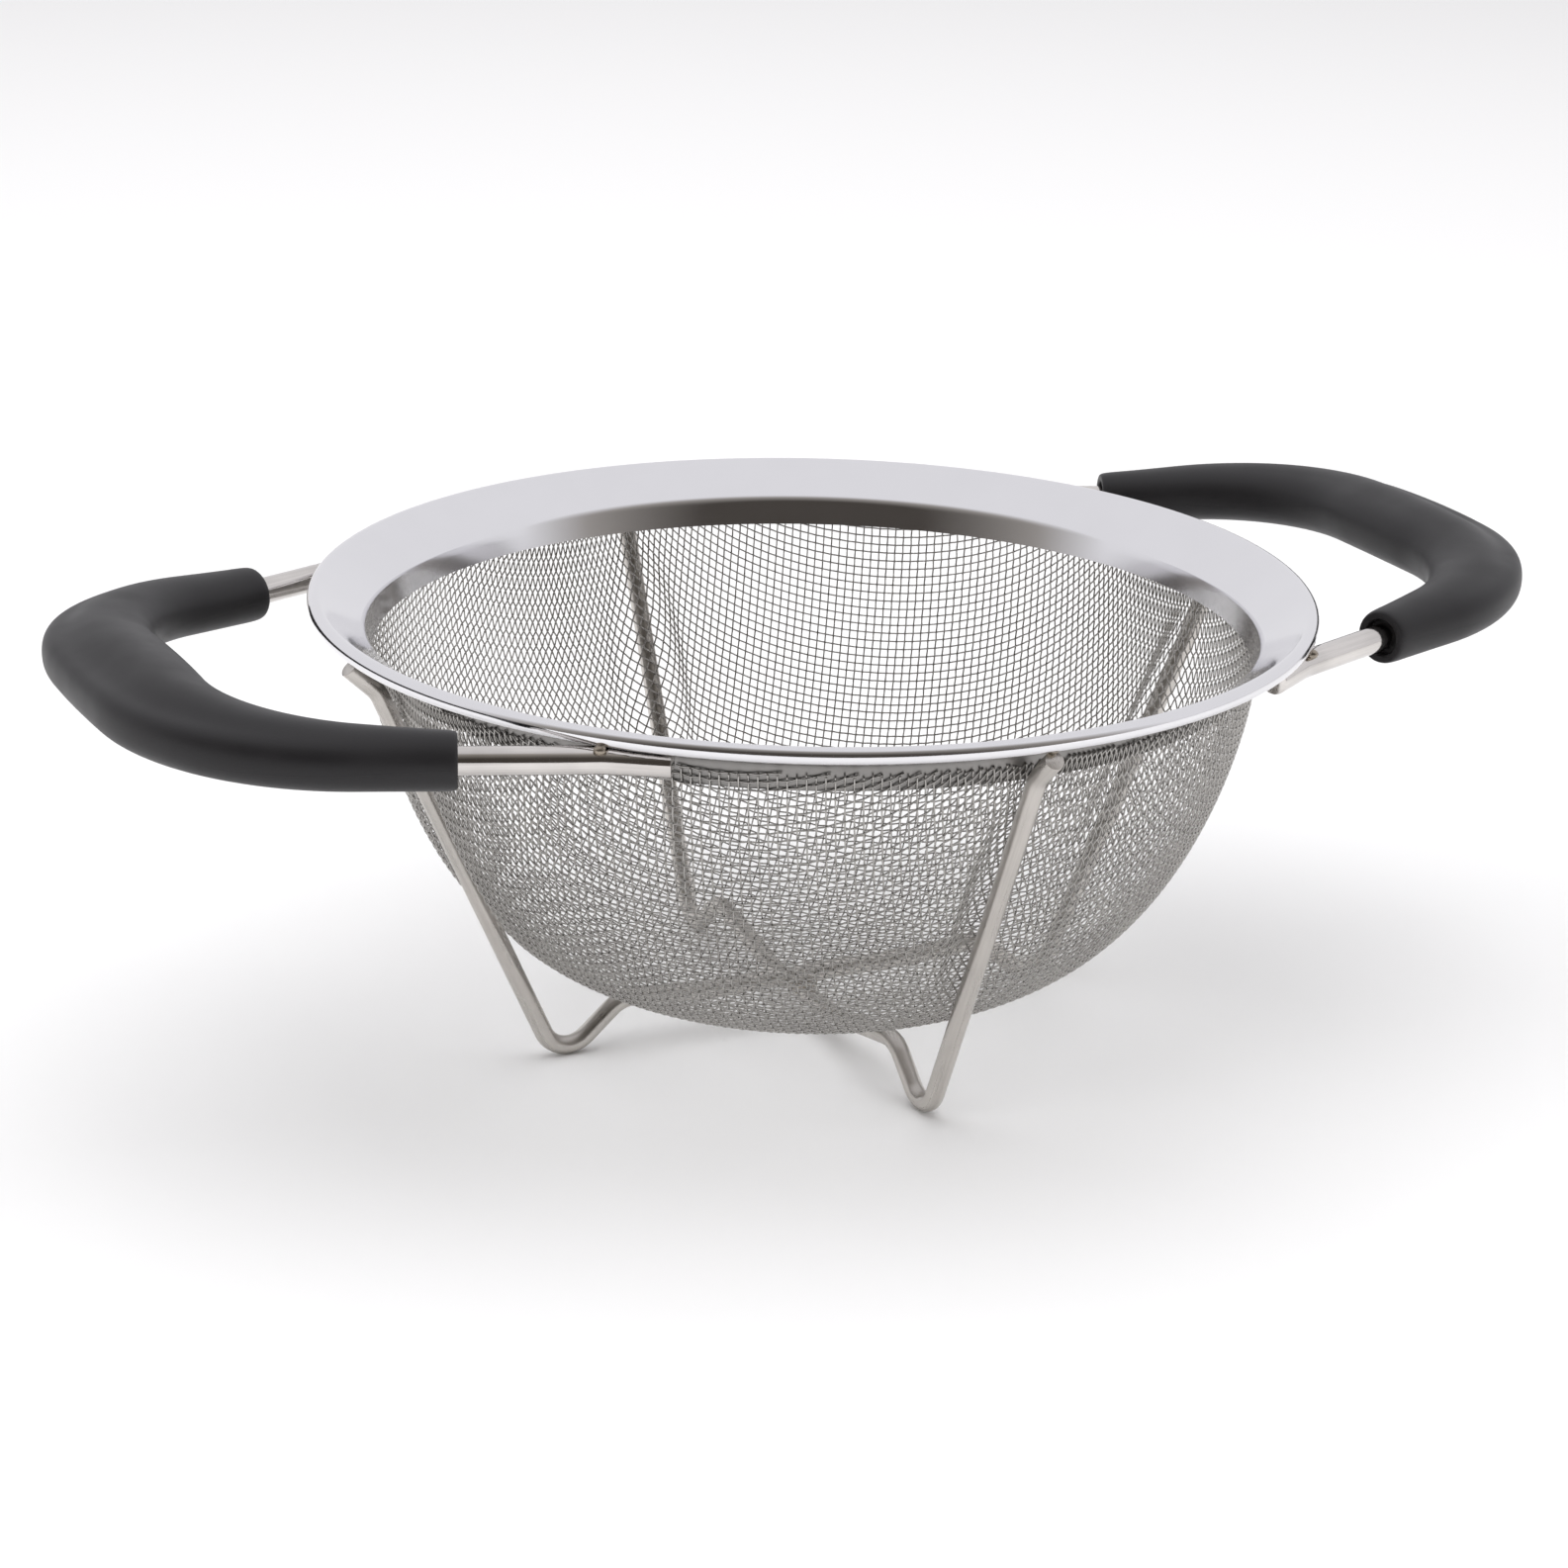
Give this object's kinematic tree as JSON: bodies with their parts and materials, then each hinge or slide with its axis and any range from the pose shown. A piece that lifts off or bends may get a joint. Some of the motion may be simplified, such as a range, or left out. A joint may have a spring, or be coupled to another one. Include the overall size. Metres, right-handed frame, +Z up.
{
  "type": "footed mesh strainer",
  "caption": "Round strainer with a woven wire bowl, a wide pressed steel rim, bent wire legs and looped side handles with soft moulded grips.",
  "frame": {"origin": "on the table, under the middle of the bowl", "axes": "+Z up through the middle of the bowl, +X along the line through the two handles, +Y across them"},
  "size_m": [0.366, 0.24, 0.116],
  "materials": {
    "rim_steel": "polished stainless steel, pressed",
    "mesh_steel": "fine woven stainless wire",
    "leg_steel": "satin stainless wire",
    "handle_steel": "polished stainless wire",
    "grip_rubber": "matte charcoal soft-touch moulding",
    "weld_steel": "spot weld, slightly heat tinted"
  },
  "bodies": {
    "root": {"rim_ring": "rim_steel", "sieve_bowl": "mesh_steel", "leg_wire_long": "leg_steel", "leg_wire_cross": "leg_steel", "handle_wire_right": "handle_steel", "handle_wire_left": "handle_steel", "handle_grip_right": "grip_rubber", "handle_grip_left": "grip_rubber", "leg_welds": "weld_steel", "handle_welds": "weld_steel", "crossing_weld": "weld_steel"}
  },
  "joints": []
}
